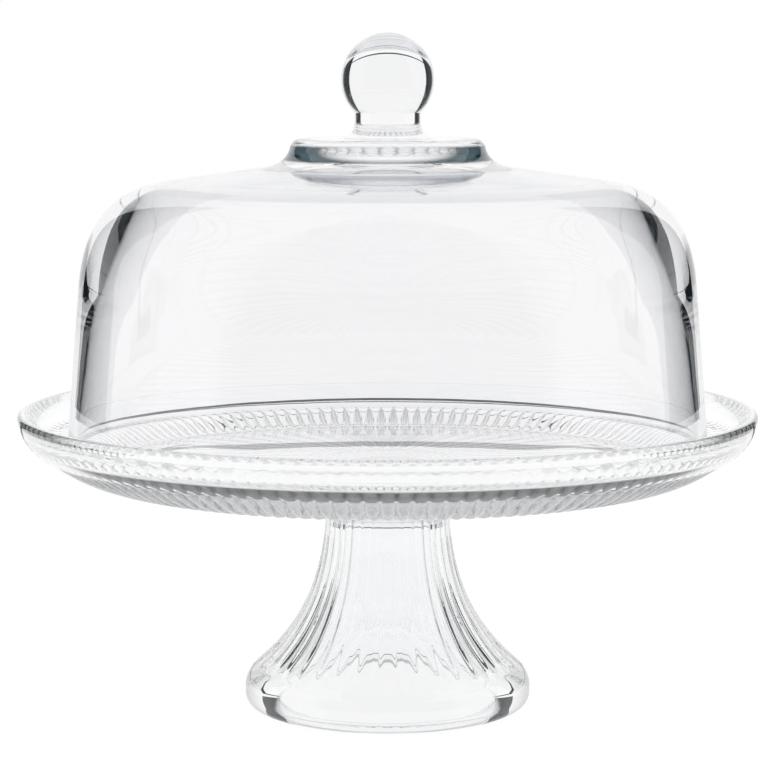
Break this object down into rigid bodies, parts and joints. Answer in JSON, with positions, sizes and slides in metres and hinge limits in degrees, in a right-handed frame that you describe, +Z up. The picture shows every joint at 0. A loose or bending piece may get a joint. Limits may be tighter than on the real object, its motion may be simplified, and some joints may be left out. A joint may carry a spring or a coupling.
{
  "type": "cake stand with dome",
  "caption": "Footed clear glass cake stand: a rimmed plate with a sunk floor and ribbed underside on a hollow fluted foot, under a lift-off dome with a ball knob.",
  "frame": {"origin": "centre of the foot's resting ring, on the table", "axes": "+Z up along the axis that the stand and the dome are turned about; +X and +Y are alike"},
  "size_m": [0.325, 0.325, 0.2978],
  "materials": {
    "stand_glass": "clear pressed glass, polished, ribs and flutes below",
    "dome_glass": "clear glass, smooth and polished"
  },
  "bodies": {
    "stand": {"plate": "stand_glass", "pedestal": "stand_glass"},
    "cover": {"dome": "dome_glass", "knob": "dome_glass"}
  },
  "joints": [
    {"name": "dome_lift", "type": "slide", "parent": "stand", "child": "cover", "axis": [0, 0, 1], "range_m": [0, 0.18]}
  ]
}
